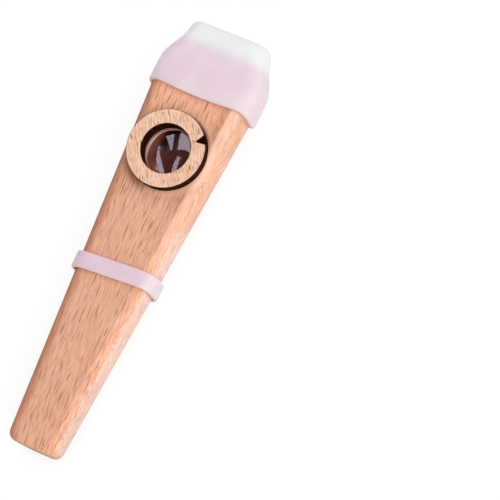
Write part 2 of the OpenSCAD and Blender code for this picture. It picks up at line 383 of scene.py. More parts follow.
def front_colour(wood):
    """The front and the back: paler by the mouthpiece in painted light, and darker by the right ridge, its
    fibres most.
    """
    colour = wood.fibred(**FRONT_WOOD)
    colour = wood.mix(wood.step(wood.growth, 0.35, 0.65, 0.0, 0.3), colour, GROWTH_TONE)
    # Painted light: paler by the mouthpiece, where the mouthpiece's rim shades the front
    by_mouth = wood.step(wood.along, *mm(28, 36))
    colour = wood.tinted(by_mouth, colour, FRONT_LIT_BY_MOUTH)
    in_ridge = wood.step(wood.from_right, *mm(7.0, 4.4))
    past_band = wood.step(wood.along, *mm(-1, 2))
    deepening = wood.step(wood.along, *mm(5, 30), 0.2, 1.0)
    in_dark_grain = wood.step(wood.grain, 0.38, 0.6, 1.0, 0.5)
    by_ridge = wood.overlap(in_ridge, past_band, deepening, in_dark_grain)
    return wood.tinted(by_ridge, colour, FRONT_BY_RIDGE)


def rounded_colour(wood):
    """The rounded right edge, with painted light on it from the band on."""
    colour = wood.fibred(**ROUNDED_WOOD)
    # Painted light on the rounded edge from the band on
    past_band = wood.step(wood.along, *mm(-15, 2), 0.0, 0.4)
    colour = wood.mix(past_band, colour, LIT_EDGE_TONE)
    by_mouth = wood.step(wood.along, *mm(26, 36))
    return wood.tinted(by_mouth, colour, ROUNDED_BY_MOUTH)


def side_colour(wood):
    """The right side: pale partly in its own wood and partly as painted light, with a broad flame on the
    flat, small curls by the edges and short dashes, and painted shade low down.
    """
    shift = (0.05, 0.02, 0.01)
    flame = wood.contours(FLAME_CELL, 16.0, 0.24, 0.4, rough=0.45, shift=shift)
    curl = wood.contours(CURL_CELL, 10.0, 0.22, 1.0, detail=1.5, rough=0.45, shift=shift)
    curl = wood.overlap(curl, wood.step(wood.cloud, 0.4, 0.62, 0.1, 0.8))
    figure = wood.mix(wood.step(wood.to_side, 0.86, 0.98), curl, flame)
    dashes = wood.flecks(DASH_CELL, -0.4, 0.4, 0.14, shift=(0.03, 0, 0.01))
    colour = wood.mix(figure, wood.fibred(**SIDE_WOOD), FIGURE_TONE)
    colour = wood.mix(wood.overlap(dashes, 0.4), colour, DASH_TONE)
    round_band = wood.overlap(wood.step(wood.along, *mm(-44, -34)), wood.step(wood.along, *mm(8, 1)))
    colour = wood.tinted(round_band, colour, SIDE_ROUND_BAND)
    by_mouth = wood.step(wood.along, *mm(1, 13))
    colour = wood.tinted(by_mouth, colour, SIDE_BY_MOUTH)
    # Painted shade low down on the right side, where it turns towards the paper
    low_shade = wood.overlap(wood.step(wood.height, *mm(6.6, 4.2)), wood.step(wood.to_side, 0.0, 0.5))
    return wood.tinted(low_shade, colour, SIDE_LOW_SHADE)


def left_edge(wood, colour):
    """The left long edge, darkened with painted shade, with a thin line of painted shade on its turn."""
    to_left = wood.facing(TO_LEFT)
    near_edge = wood.step(wood.from_left, *mm(0.4, 4.6), 1.0, 0.0)
    # Painted shade over the left edge, and a thin line of painted shade on its turn
    left_shade = wood.overlap(near_edge, wood.step(to_left, 0.85, 1.0, 1.0, 0.5))
    colour = wood.mix(left_shade, colour, wood.fibred(**LEFT_SHADED_WOOD))
    line = wood.overlap(wood.step(to_left, 0.6, 0.84), wood.step(to_left, 0.9, 1.0, 0.55, 0.12))
    return wood.mix(line, colour, EDGE_SHADE_LINE_TONE)


def round_ring(wood, colour):
    """The front round the ring's foot: painted light where it faces the lamps, and painted shade from the
    ring elsewhere.
    """
    ahead = wood.maths("SUBTRACT", wood.along, FRONT_MIDDLE.x)
    distance = wood.from_hole(wood.along, wood.across)
    gleam = wood.overlap(wood.step(distance, RING_R, 14 * MM, 0.9, 0.0),
                         wood.step(wood.across, *mm(2, -6)),
                         wood.step(ahead, *mm(11, 1), 0.4, 1.0))
    gleam_tone = wood.mix(wood.step(wood.across, *mm(-9, -12)), *GLEAM_TONES)
    # Painted shade from the ring, on its right and on its left
    ring_shade_right = wood.overlap(wood.step(ahead, *mm(2, 9)), wood.step(wood.across, *mm(5, 1)),
                               wood.step(distance, RING_R, 12.2 * MM, 0.8, 0.0))
    ring_shade_left = wood.overlap(wood.step(wood.across, *mm(0, 5)), wood.step(ahead, *mm(0, -4)),
                              wood.step(distance, *mm(11.3, 14.3), 0.7, 0.0))
    colour = wood.mix(gleam, colour, gleam_tone)
    colour = wood.mix(ring_shade_right, colour, RING_SHADE_RIGHT_TONE)
    return wood.mix(ring_shade_left, colour, RING_SHADE_LEFT_TONE)


def end_colour(wood):
    """The sawn ends: pale and darker layers with small pores."""
    pores = wood.flecks(PORE_CELL, 0.0, 0.36, 0.2)
    layers = wood.noise(LAYER_CELL, turn=(12, 0, 0))
    colour = wood.mix(wood.step(layers, 0.35, 0.65), *END_TONES)
    return wood.mix(wood.overlap(pores, 0.5), colour, PORE_TONE)


def beech_finish():
    """Oiled beech for the block's outside: its front, rounded edge, side, left edge and ends."""
    wood = Beech("oiled_beech", IOR=1.45, Specular_IOR_Level=0.3)
    wobble = wood.maths("MULTIPLY", wood.maths("SUBTRACT", wood.cloud, 0.5), SIDE_WOBBLE)
    to_right = wood.maths("ADD", wood.to_side, wobble)
    colour = wood.mix(wood.step(to_right, 0.12, 0.26), front_colour(wood), rounded_colour(wood))
    on_front = wood.step(wood.height, *mm(9, 12))
    colour = wood.mix(on_front, colour, round_ring(wood, colour))
    # The right side, paler partly in its own wood and partly as painted light
    colour = wood.mix(wood.step(to_right, 0.64, 0.98), colour, side_colour(wood))
    colour = left_edge(wood, colour)
    to_end = wood.step(wood.maths("ABSOLUTE", wood.facing(TO_MOUTH, of="True Normal")), 0.7, 0.9)
    colour = wood.mix(to_end, colour, end_colour(wood))
    relief = wood.maths("SUBTRACT", wood.maths("MULTIPLY", wood.grain, 0.5), wood.bold)
    relief = wood.overlap(relief, wood.maths("SUBTRACT", 1.0, to_end))
    rough = wood.step(wood.grain, 0.3, 0.7, 0.5, 0.62)
    normal = wood.bump(relief, RELIEF_DEPTH, 0.5)
    return wood.drive(Base_Color=colour, Roughness=rough, Normal=normal).material


# The wood inside the airway: its dark and light fibres high up, lower down and on the floor, in painted light
# that fades to painted shade further in; the floor has painted light on one side of the hole and painted
# shade on the other, and the hole a painted glow
AIRWAY_HIGH = (shade(255, 220, 202), shade(255, 230, 216))
AIRWAY_LOW = (shade(166, 108, 90), shade(184, 124, 104))
AIRWAY_FLOOR = (shade(106, 53, 45), shade(122, 64, 54))
AIRWAY_LIT = shade(205, 126, 106)
AIRWAY_SHADE = shade(44, 14, 10)
HOLE_GLOW = shade(164, 106, 88)


def airway_finish():
    """The wood inside the airway: warm below the membrane, with painted light and a painted glow that stand
    for light through the film, and painted shade further in.
    """
    wood = Finish("airway_beech", IOR=1.45, Specular_IOR_Level=0.2)
    along, across, height = wood.axes()
    fibre = wood.step(wood.noise(mm(4, 0.3, 0.3), detail=3), 0.3, 0.7)
    deep = wood.mix(fibre, *AIRWAY_FLOOR)
    # Painted light on the floor on one side of the hole, and painted shade on the other
    lit = wood.overlap(wood.step(across, *mm(2, 6)), wood.step(along, *mm(25, 21)))
    deep = wood.mix(lit, deep, AIRWAY_LIT)
    dark = wood.overlap(wood.step(across, *mm(1, 4)), wood.step(along, *mm(25.5, 28.5)))
    deep = wood.mix(dark, deep, AIRWAY_SHADE)
    low = wood.mix(fibre, *AIRWAY_LOW)
    high = wood.mix(fibre, *AIRWAY_HIGH)
    # Painted light high up on the walls, fading to painted shade lower down
    wall = wood.mix(wood.step(height, *mm(6, 10.5)), low, high)
    colour = wood.mix(wood.step(height, *mm(4.9, 6.2)), deep, wall)
    aside = wood.maths("ABSOLUTE", wood.maths("SUBTRACT", along, FRONT_MIDDLE.x))
    in_hole = wood.overlap(wood.step(aside, *mm(6.9, 7.2), 1.0, 0.0), wood.step(height, *mm(8.5, 12.4)))
    # A painted glow from the wood in the hole, for light that comes through the film
    glow = wood.mix(in_hole, BLACK, HOLE_GLOW)
    return wood.drive(Base_Color=colour, Roughness=0.7, Emission_Color=glow, Emission_Strength=1.0,
                      Normal=wood.bump(fibre, 0.05 * MM, 0.5)).material


# The dark and light fibres of the ring and its spigot, their char outside and in the bore, lightened there as
# painted light, and its halo
RING_TONES = (shade(218, 168, 138), shade(247, 208, 184))
SPIGOT_TONES = (shade(176, 124, 92), shade(204, 154, 120))
CHAR_OUTSIDE = (shade(22, 6, 1), shade(66, 27, 8))
LIGHTENED_BORE_CHAR = (shade(30, 14, 6), shade(66, 36, 20))
CHAR_HALO_TONE = shade(120, 70, 42)
RING_GRAIN_TURN = (0, 0, -33)

# The flecks on the ring's face: their cell, least and most reach, softness, shift, share and tone
RING_FLECKS = (
    (mm(2.6, 0.4, 3), -0.1, 0.44, 0.2, (0.02, 0.01, 0), 0.6, shade(250, 224, 202)),
    (mm(2.0, 0.32, 3), -0.1, 0.44, 0.14, (0, 0, 0), 0.6, shade(186, 128, 96)),
    (mm(2.4, 0.38, 3), -0.6, 0.42, 0.12, (0, 0.03, 0), 0.85, shade(140, 86, 58)),
)


def charred(wood, colour, share):
    """Lays laser char over a colour where share is 1, with the fine ridges that the beam leaves."""
    soot = wood.step(wood.noise(mm(0.5, 0.5, 4), detail=3), 0.3, 0.75)
    along, across, _ = wood.axes()
    # Inside the bore the char is lighter: painted light where the bore lies in shade
    in_bore = wood.step(wood.from_hole(along, across), RING_BORE_R + 0.3 * MM, RING_BORE_R + 0.1 * MM)
    char = wood.mix(in_bore, wood.mix(soot, *CHAR_OUTSIDE), wood.mix(soot, *LIGHTENED_BORE_CHAR))
    return wood.mix(share, colour, char)


def ring_finish():
    """The ring's pale flecked face, and its charred walls."""
    wood = Finish("ring_beech", IOR=1.45, Specular_IOR_Level=0.02)
    fibre = wood.noise(mm(3, 0.3, 0.6), rough=0.6, turn=RING_GRAIN_TURN)
    face = wood.mix(wood.step(fibre, 0.3, 0.7), *RING_TONES)
    for cell, least, most, soft, shift, share, tone in RING_FLECKS:
        flecks = wood.flecks(cell, least, most, soft, turn=RING_GRAIN_TURN, shift=shift)
        face = wood.mix(wood.overlap(flecks, share), face, tone)
    char = wood.node("Attribute", attribute_name="char").outputs["Fac"]
    face = wood.mix(wood.step(char, 0.05, 0.9, 0.0, 0.3), face, CHAR_HALO_TONE)
    colour = charred(wood, face, wood.step(char, 0.8, 1.0))
    return wood.drive(Base_Color=colour, Roughness=0.62, Normal=wood.bump(fibre, 0.03 * MM, 0.4)).material


def spigot_finish():
    """The glued spigot, charred on its walls and brown on its flats."""
    wood = Finish("charred_beech", IOR=1.45, Specular_IOR_Level=0.02)
    fibre = wood.noise(mm(5, 0.3, 0.4), detail=3)
    flat = wood.mix(wood.step(fibre, 0.3, 0.7), *SPIGOT_TONES)
    level = wood.maths("ABSOLUTE", wood.facing(FRONT_NORMAL))
    colour = charred(wood, flat, wood.step(level, 0.3, 0.6, 1.0, 0.0))
    return wood.drive(Base_Color=colour, Roughness=0.7, Normal=wood.bump(fibre, 0.03 * MM, 0.4)).material


# The tones of the membrane's plastic ring and of its film
CARRIER_TONES = (shade(246, 196, 180), shade(255, 208, 194))
CARRIER_SHADED = shade(104, 60, 52)
FILM_TONES = (shade(40, 24, 22), shade(52, 34, 34))
FILM_GLOSS = (0.98, 0.84, 1.0, 1.0)


def carrier_finish():
    """The membrane's milky plastic ring, darker where it faces the outlet."""
    plastic = Finish("milky_plastic", IOR=1.5, Transmission_Weight=0.3)
    cloud = plastic.noise(mm(3, 3, 3), detail=3)
    colour = plastic.mix(plastic.step(cloud, 0.3, 0.7), *CARRIER_TONES)
    shaded = plastic.step(plastic.facing(TO_OUTLET), 0.2, 0.8, 0.0, 0.75)
    colour = plastic.mix(shaded, colour, CARRIER_SHADED)
    rough = plastic.step(cloud, 0.3, 0.7, 0.3, 0.42)
    return plastic.drive(Base_Color=colour, Roughness=rough).material


def film_finish():
    """The membrane's clear glossy film: see-through, with a faint lavender gloss."""
    film = Finish("clear_film", IOR=2.5, Alpha=0.075, Specular_Tint=FILM_GLOSS)
    haze = film.noise(mm(2.5, 0.6, 2), detail=4, rough=0.6)
    colour = film.mix(film.step(haze, 0.3, 0.8), *FILM_TONES)
    return film.drive(Base_Color=colour, Roughness=film.step(haze, 0.35, 0.75, 0.13, 0.18)).material


# Silicone: its two tones over the wood and its tone of painted light on the right side, for the mouthpiece
# and for the band
PINKS = (shade(248, 226, 239), shade(255, 234, 243), shade(255, 238, 242))
LILACS = (shade(241, 217, 233), shade(253, 222, 232), shade(255, 240, 247))
# Painted highlight along the silicone's rims
RIM_HIGHLIGHT_TONE = shade(255, 230, 220)
SOLID_TONES = (shade(240, 240, 241), shade(244, 244, 245))
# Where the mouthpiece turns from a thin sleeve into its solid tip, and how clear each of the two is
SOLID_FROM = mm(54.6, 59.2)
CLEARNESS = (0.22, 0.08)


def silicone_finish(name, low, high, lit_side, lining=False):
    """Milky silicone: pink where wood glows through thin walls, white in the solid tip, with painted light on
    its right side and a painted highlight along its pale rims.
    """
    rubber = Finish(name, IOR=1.41, Specular_IOR_Level=0.35)
    along = rubber.axes()[0]
    cloud = rubber.noise(mm(9, 7, 7))
    grain = rubber.noise(mm(0.35, 0.35, 0.35))
    thin = rubber.mix(rubber.step(cloud, 0.3, 0.7), low, high)
    # Painted light on the right side, which faces the lamps
    thin = rubber.mix(rubber.step(rubber.facing(TO_RIGHT), 0.3, 0.8), thin, lit_side)
    # Painted highlight along the rims that face down the body
    thin = rubber.mix(rubber.node("Attribute", attribute_name="rim").outputs["Fac"], thin, RIM_HIGHLIGHT_TONE)
    solid = rubber.mix(rubber.step(cloud, 0.3, 0.7), *SOLID_TONES)
    colour = rubber.mix(rubber.step(along, *SOLID_FROM), thin, solid)
    rough = rubber.step(cloud, 0.3, 0.7, 0.42, 0.5)
    through = 1.0 if lining else rubber.step(along, *SOLID_FROM, *CLEARNESS)
    return rubber.drive(Base_Color=colour, Roughness=rough, Transmission_Weight=through,
                        Normal=rubber.bump(grain, 0.01 * MM, 0.3)).material


# Meshes and pieces

# Corners closer than this are one, in a CAD node's copy and in a mesh made here
CAD_JOIN = 0.002 * MM
OWN_JOIN = 0.0005 * MM


def new_piece(name, mesh, body, materials, node):
    """A finished piece at the origin, riding on a body and standing for a CAD node."""
    piece = bpy.data.objects.new(name, mesh)
    bpy.context.scene.collection.objects.link(piece)
    mesh.materials.clear()
    for material in materials:
        mesh.materials.append(material)
    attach(piece, body)
    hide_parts(node)
    return piece


def kept_node(node, material):
    """A CAD node that stays as it is, in a new finish."""
    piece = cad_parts[node]
    piece.data.materials.clear()
    piece.data.materials.append(material)


def join_corners(mesh, within, outward=False):
    """Joins corners that lie on each other and, if asked, points every face outward."""
    made = bmesh.new()
    made.from_mesh(mesh)
    bmesh.ops.remove_doubles(made, verts=made.verts, dist=within)
    if outward:
        bmesh.ops.recalc_face_normals(made, faces=made.faces)
    made.to_mesh(mesh)
    made.free()


def smooth(mesh, sharp):
    """Shades a mesh smooth, but for edges that turn by more than so many degrees."""
    mesh.shade_smooth()
    mesh.set_sharp_from_angle(angle=math.radians(sharp))


def merged_copy(node, name, sharp):
    """A copy of a CAD node's mesh with its corners joined, smooth but for its sharp edges."""
    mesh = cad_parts[node].data.copy()
    mesh.name = name
    join_corners(mesh, CAD_JOIN)
    smooth(mesh, sharp)
    return mesh


def mesh_of(name, points, faces):
    """A mesh of points and faces."""
    mesh = bpy.data.meshes.new(name)
    mesh.from_pydata([tuple(p) for p in points], [], faces)
    mesh.update()
    return mesh


def outline(x):
    """The wood's half width, half thickness, edge radius and mid height at x."""
    t = min(max((x - OUTLET_X) / TAPER_LEN, 0), 1)
    half_w = OUTLET_HALF_W + (MOUTH_HALF_W - OUTLET_HALF_W) * t
    half_t = (OUTLET_T + (MOUTH_T - OUTLET_T) * t) / 2
    edge_r = OUTLET_EDGE_R + (MOUTH_EDGE_R - OUTLET_EDGE_R) * t
    return half_w, half_t, edge_r, BACK_Z + half_t


def looks_in(face, least=0.0):
    """True for a face that looks in towards the body's axis, by more than the least cosine."""
    axis = Vector((face.center.x, 0, outline(face.center.x)[3]))
    return (face.center - axis).normalized().dot(face.normal) < -least


# The wooden body

# A face that looks further along the body than this is an end or a step, not a wall of the airway
END_FACING = 0.9


def wooden_body():
    """The beech block, with its airway in a darker wood."""
    mesh = merged_copy("wooden_body", "beech_block", sharp=30)
    finishes = [beech_finish(), airway_finish()]
    piece = new_piece("beech_block", mesh, "body", finishes, "wooden_body")
    for face in mesh.polygons:
        face.material_index = int(in_airway(face))
    part_airway(mesh)
    flat_faces = piece.modifiers.new("flat_faces", "WEIGHTED_NORMAL")
    flat_faces.keep_sharp = True


def in_airway(face):
    """True for a wall of the outlet bore, the air chamber, the membrane hole or the seat."""
    from_front = OFF_FRONT @ face.center
    if math.hypot(from_front.x, from_front.y) < SEAT_REACH and from_front.z < -SEAT_BELOW:
        return True
    return looks_in(face) and abs(face.normal.x) < END_FACING


def part_airway(mesh):
    """Makes the edges sharp where the airway's walls meet the outside."""
    beside_edge = {}
    for face in mesh.polygons:
        for key in face.edge_keys:
            beside_edge.setdefault(key, set()).add(face.material_index)
    for edge in mesh.edges:
        if len(beside_edge[edge.key]) > 1:
            edge.use_edge_sharp = True


# The ring

RING_FOOT = 0.05 * MM
RING_TOP = 3.55 * MM
RING_BREAK = 0.1 * MM
CHAR_HALO = 0.25 * MM
KERF_AT_FOOT = 0.05 * MM
KERF_AT_NOTCH = KERF_AT_FOOT * 2 / 3
NOTCH_FLOOR = 1.2 * MM
NOTCH_TURN = math.radians(-56)
NOTCH_DEPTH = 2.6 * MM
NOTCH_HALF_W = 1.3 * MM
RING_STEPS = 200
NOTCH_STEPS = 8
# The least cosine that a corner counts with, so that it is drawn in by twice the distance at most
LEAST_COSINE = 0.5


def ring_outline():
    """The flange's outline as (angle, radius) all the way round, with its pry notch."""
    half = math.asin(NOTCH_HALF_W / RING_R)
    lip = Vector((RING_R * math.cos(half), RING_R * math.sin(half)))
    apex = Vector((RING_R - NOTCH_DEPTH, 0))
    flank = [apex.lerp(lip, k / NOTCH_STEPS) for k in range(NOTCH_STEPS + 1)]
    notch = [Vector((p.x, -p.y)) for p in reversed(flank[1:])] + flank
    arc = [half + (math.tau - 2 * half) * k / RING_STEPS for k in range(1, RING_STEPS)]
    return [(math.atan2(p.y, p.x), p.length) for p in notch] + [(a, RING_R) for a in arc]


def inset(points, by):
    """A closed flat outline drawn in by a distance."""
    drawn = []
    for k, p in enumerate(points):
        before, after = points[k - 1], points[(k + 1) % len(points)]
        a = (p - before).normalized()
        b = (after - p).normalized()
        normal = Vector((-(a.y + b.y), a.x + b.x)).normalized()
        drawn.append(p + normal * by / max(normal.dot(Vector((-a.y, a.x))), LEAST_COSINE))
    return drawn


def ring_flange():
    """The laser-cut ring: a closed strip of loops round its section, with how charred each loop is."""
    polar = ring_outline()
    angles = [a + NOTCH_TURN for a, _ in polar]
    outer = [Vector((r * math.cos(a), r * math.sin(a))) for a, (_, r) in zip(angles, polar)]
    whole = [Vector((RING_R * math.cos(a), RING_R * math.sin(a))) for a in angles]
    bore = [Vector((RING_BORE_R * math.cos(a), RING_BORE_R * math.sin(a))) for a in angles]

    def wider(by):
        """The bore's outline, widened by a distance."""
        return [p * (1 + by / RING_BORE_R) for p in bore]

    # Each loop's outline, its height over the front and its char
    loops = [
        (bore, RING_FOOT, 1.0), (bore, RING_TOP - RING_BREAK, 1.0), (wider(RING_BREAK), RING_TOP, 0.7),
        (wider(CHAR_HALO), RING_TOP, 0.0), (inset(outer, CHAR_HALO), RING_TOP, 0.0),
        (inset(outer, RING_BREAK), RING_TOP, 1.0), (outer, RING_TOP - RING_BREAK, 1.0),
        (inset(outer, KERF_AT_NOTCH), NOTCH_FLOOR, 1.0), (inset(whole, KERF_AT_NOTCH), NOTCH_FLOOR, 1.0),
        (inset(whole, KERF_AT_FOOT), RING_FOOT, 1.0), (inset(whole, CHAR_HALO), RING_FOOT, 0.0),
        (wider(CHAR_HALO), RING_FOOT, 0.0),
    ]
    count = len(angles)
    points = [ON_FRONT @ Vector((p.x, p.y, z)) for loop, z, _ in loops for p in loop]
    faces = []
    for k in range(len(loops)):
        here, there = k * count, (k + 1) % len(loops) * count
        for i in range(count):
            j = (i + 1) % count
            faces.append((here + i, there + i, there + j, here + j))
    mesh = mesh_of("wooden_ring", points, faces)
    char = mesh.attributes.new("char", "FLOAT", "POINT")
    char.data.foreach_set("value", [share for _, _, share in loops for _ in range(count)])
    join_corners(mesh, OWN_JOIN, outward=True)
    smooth(mesh, sharp=35)
    new_piece("wooden_ring", mesh, "ring", [ring_finish()], "ring_flange")


# The membrane's film

FILM_R = 9.4 * MM
FILM_FREE_R = 6.98 * MM
FILM_MIDDLE = -1.58 * MM
FILM_T = 0.05 * MM
FILM_RINGS = 80
FILM_SPOKES = 240
FILM_GRID = 192
TIGHTENING_PASSES = 1500
SOFTENING_PASSES = 2
# The slope of the folds' flanks, along and across the body, that turns them to the small overhead lamp
FOLD_SLOPE = (0.014, 0.123)
# The flanks' lift and outlines in mm from the middle of the ring, along and across the body
FOLD_FLANKS = [
    (-0.02, ((0.9, 4.2), (-0.1, 3.45), (-1.2, 2.6), (-2.7, 1.4), (-5.4, -0.9), (-6.6, -1.4), (-6.8, -0.2),
             (-5.6, 0.95), (-3.4, 2.9), (-1.6, 3.5), (-0.3, 3.85))),
    (0.19, ((3.9, 3.3), (5.5, 1.3), (3.2, 0.5), (0.9, -0.3), (0.9, 0.15), (2.5, 1.85))),
    (-0.1, ((6.5, -0.1), (7.1, -0.9), (6.6, -2.2), (5.5, -3.6), (4.1, -4.5), (1.8, -5.4), (2.4, -3.9),
            (2.1, -2.8), (1.9, -1.6), (4.1, -0.7))),
    (0.0, ((0.3, -2.3), (-0.1, -2.9), (-1.6, -3.5), (-3.8, -3.8), (-4.9, -2.6), (-2.3, -2.1))),
]


def membrane_film():
    """The film, slack in its ring: flat on the rim, with a few folds that catch the light."""
    height_at = fold_heights()
    points, faces = [], []
    for side in (1, -1):
        points.append(Vector((0, 0, height_at(0, 0) + side * FILM_T / 2)))
        for k in range(1, FILM_RINGS + 1):
            r = FILM_R * k / FILM_RINGS
            for i in range(FILM_SPOKES):
                turn = math.tau * i / FILM_SPOKES
                x, y = r * math.cos(turn), r * math.sin(turn)
                points.append(Vector((x, y, height_at(x, y) + side * FILM_T / 2)))
    layer = 1 + FILM_RINGS * FILM_SPOKES
    rim = 1 + (FILM_RINGS - 1) * FILM_SPOKES
    for i in range(FILM_SPOKES):
        j = (i + 1) % FILM_SPOKES
        for at in (0, layer):
            faces.append((at, at + 1 + i, at + 1 + j))
            for k in range(FILM_RINGS - 1):
                a = at + 1 + k * FILM_SPOKES
                faces.append((a + i, a + FILM_SPOKES + i, a + FILM_SPOKES + j, a + j))
        faces.append((rim + i, rim + j, layer + rim + j, layer + rim + i))
    place = ON_FRONT @ Matrix.Translation((0, 0, FILM_MIDDLE))
    mesh = mesh_of("slack_film", [place @ p for p in points], faces)
    join_corners(mesh, OWN_JOIN, outward=True)
    smooth(mesh, sharp=60)
    new_piece("slack_film", mesh, "membrane", [film_finish()], "membrane_film")


def fold_heights():
    """The film's height at any place: level on the rim, sloped on the flanks and drawn tight between."""
    side = 2 * FILM_R
    at = (np.arange(FILM_GRID) + 0.5) / FILM_GRID * side - FILM_R
    x, y = np.meshgrid(at, at, indexing="ij")
    height = np.zeros_like(x)
    held = np.hypot(x, y) > FILM_FREE_R
    for lift, flank in FOLD_FLANKS:
        corners = np.array(flank) * MM
        inside = within(x, y, corners) & (np.hypot(x, y) < FILM_FREE_R)
        middle = corners.mean(axis=0)
        slant = (x - middle[0]) * FOLD_SLOPE[0] + (y - middle[1]) * FOLD_SLOPE[1]
        height[inside] = (lift * MM + slant)[inside]
        held |= inside
    for _ in range(TIGHTENING_PASSES):
        height = np.where(held, height, beside(height))
    for _ in range(SOFTENING_PASSES):
        height = (height + beside(height)) / 2

    def column(p):
        """The grid's column before a place, and how far on from it the place is."""
        spot = min(max((p + FILM_R) / side * FILM_GRID - 0.5, 0), FILM_GRID - 1.001)
        return int(spot), spot - int(spot)

    def height_at(px, py):
        """The height between the grid's four columns round a place."""
        a, s = column(px)
        b, t = column(py)
        low = height[a, b] * (1 - s) + height[a + 1, b] * s
        high = height[a, b + 1] * (1 - s) + height[a + 1, b + 1] * s
        return float(low * (1 - t) + high * t)

    return height_at


def beside(grid):
    """The mean of each place's four neighbours."""
    return (np.roll(grid, 1, 0) + np.roll(grid, -1, 0) + np.roll(grid, 1, 1) + np.roll(grid, -1, 1)) / 4


def within(x, y, corners):
    """True inside a flat outline."""
    inside = np.zeros_like(x, bool)
    for a, b in zip(corners, np.roll(corners, -1, axis=0)):
        crosses = (a[1] > y) != (b[1] > y)
        if a[1] != b[1]:
            inside ^= crosses & (x < (b[0] - a[0]) * (y - a[1]) / (b[1] - a[1]) + a[0])
    return inside


# The silicone mouthpiece and band

SLEEVE_SHIFT = 0.25 * MM
SLEEVE_RIM_X = 50 * MM
# A face that looks further along the body than this is a step and doesn't lie on the wood
STEP_FACING = 0.8
# How far a corner looks down the body where the rim's painted highlight starts, and how much further it is
# full
RIM_FACING = 0.25
RIM_BLEND = 0.5


def mouthpiece():
    """The silicone mouthpiece, with its outside a little to one side of the wood."""
    mesh = merged_copy("mouthpiece", "silicone_mouthpiece", sharp=50)
    on_wood = {v for face in mesh.polygons if hugs_wood(face) for v in face.vertices}
    outer = {v for face in mesh.polygons if not hugs_wood(face) for v in face.vertices}
    for v in outer - on_wood:
        mesh.vertices[v].co.y -= SLEEVE_SHIFT
    mark_rim_highlights(mesh, SLEEVE_RIM_X)
    finish = silicone_finish("milky_silicone", *PINKS)
    new_piece("silicone_mouthpiece", mesh, "mouthpiece", [finish], "mouthpiece")


def hugs_wood(face):
    """True for a wall of the mouthpiece that lies on the wood."""
    return looks_in(face) and abs(face.normal.x) < STEP_FACING and face.center.x < WOOD_END_X


def mark_rim_highlights(mesh, before):
    """Marks the corners that face down the body, before a place along it, for the painted highlight along a
    rim.
    """
    rim = mesh.attributes.new("rim", "FLOAT", "POINT")
    for k, corner in enumerate(mesh.vertices):
        faces_down = min(max((-corner.normal.x - RIM_FACING) / RIM_BLEND, 0), 1)
        rim.data[k].value = faces_down if corner.co.x < before else 0.0


BAND_X = -11 * MM
BAND_W = 4.8 * MM
BAND_T = 1.25 * MM
BAND_ROUND = 0.4 * MM
BAND_ROUND_STEPS = 4
BAND_GAP = 0.1 * MM
BAND_SKEW = math.radians(4.6)
BAND_LEAN = math.radians(3.5)
BAND_LINING_FACING = 0.3
CORNER_STEPS = 14
SIDE_STEPS = 6


def band_path():
    """The line on the wood that the band's middle follows, askew and leaning."""
    half_w, half_t, edge_r, _ = outline(BAND_X)
    corners = []
    for corner in range(4):
        sign_y = 1 if corner in (0, 3) else -1
        sign_z = 1 if corner < 2 else -1
        for k in range(CORNER_STEPS + 1):
            turn = math.radians(90 * corner + 90 * k / CORNER_STEPS)
            y = sign_y * (half_w - edge_r) + math.cos(turn) * (edge_r + BAND_GAP)
            z = sign_z * (half_t - edge_r) + math.sin(turn) * (edge_r + BAND_GAP)
            corners.append((y, z))
    closed = []
    for k, (y, z) in enumerate(corners):
        after = corners[(k + 1) % len(corners)]
        is_side = math.hypot(after[0] - y, after[1] - z) > edge_r * 0.5
        steps = SIDE_STEPS if is_side else 1
        closed += [(y + (after[0] - y) * s / steps, z + (after[1] - z) * s / steps) for s in range(steps)]
    points = []
    for y, z in closed:
        x = BAND_X - y * math.tan(BAND_SKEW) + z * math.tan(BAND_LEAN)
        here_w, here_t, _, mid_z = outline(x)
        points.append((x, y * here_w / half_w, mid_z + z * here_t / half_t))
    return points


def sweep_tree(material):
    """Geometry Nodes: a rounded strip swept along a closed line, flat side in."""
    tree = bpy.data.node_groups.new("band_sweep", "GeometryNodeTree")
    tree.interface.new_socket("Geometry", in_out="INPUT", socket_type="NodeSocketGeometry")
    for name, value in (("Width", BAND_W), ("Thickness", BAND_T), ("Rounding", BAND_ROUND)):
        socket = tree.interface.new_socket(name, in_out="INPUT", socket_type="NodeSocketFloat")
        socket.default_value = value
    tree.interface.new_socket("Geometry", in_out="OUTPUT", socket_type="NodeSocketGeometry")

    def node(kind, inputs=None, **settings):
        """A new node of this tree."""
        return add_node(tree, kind, inputs, **settings)

    given = node("NodeGroupInput").outputs
    line = node("GeometryNodeMeshToCurve", {"Mesh": given["Geometry"]}).outputs["Curve"]
    upright = {"Curve": line, "Normal": TO_MOUTH}
    line = node("GeometryNodeSetCurveNormal", upright, mode="FREE").outputs["Curve"]
    strip = node("GeometryNodeCurvePrimitiveQuadrilateral",
                 {"Width": given["Width"], "Height": given["Thickness"]}, mode="RECTANGLE").outputs["Curve"]
    rounding = {"Curve": strip, "Count": BAND_ROUND_STEPS, "Radius": given["Rounding"]}
    strip = node("GeometryNodeFilletCurve", rounding, mode="POLY").outputs["Curve"]
    half = node("ShaderNodeMath", {0: given["Thickness"], 1: 0.5}, operation="MULTIPLY").outputs[0]
    lift = node("ShaderNodeCombineXYZ", {"Y": half}).outputs[0]
    strip = node("GeometryNodeTransform", {"Geometry": strip, "Translation": lift}).outputs[0]
    swept = node("GeometryNodeCurveToMesh", {"Curve": line, "Profile Curve": strip}).outputs[0]
    swept = node("GeometryNodeRealizeInstances", {"Geometry": swept}).outputs[0]
    swept = node("GeometryNodeSetMaterial", {"Geometry": swept, "Material": material}).outputs[0]
    node("NodeGroupOutput", {"Geometry": swept})
    return tree


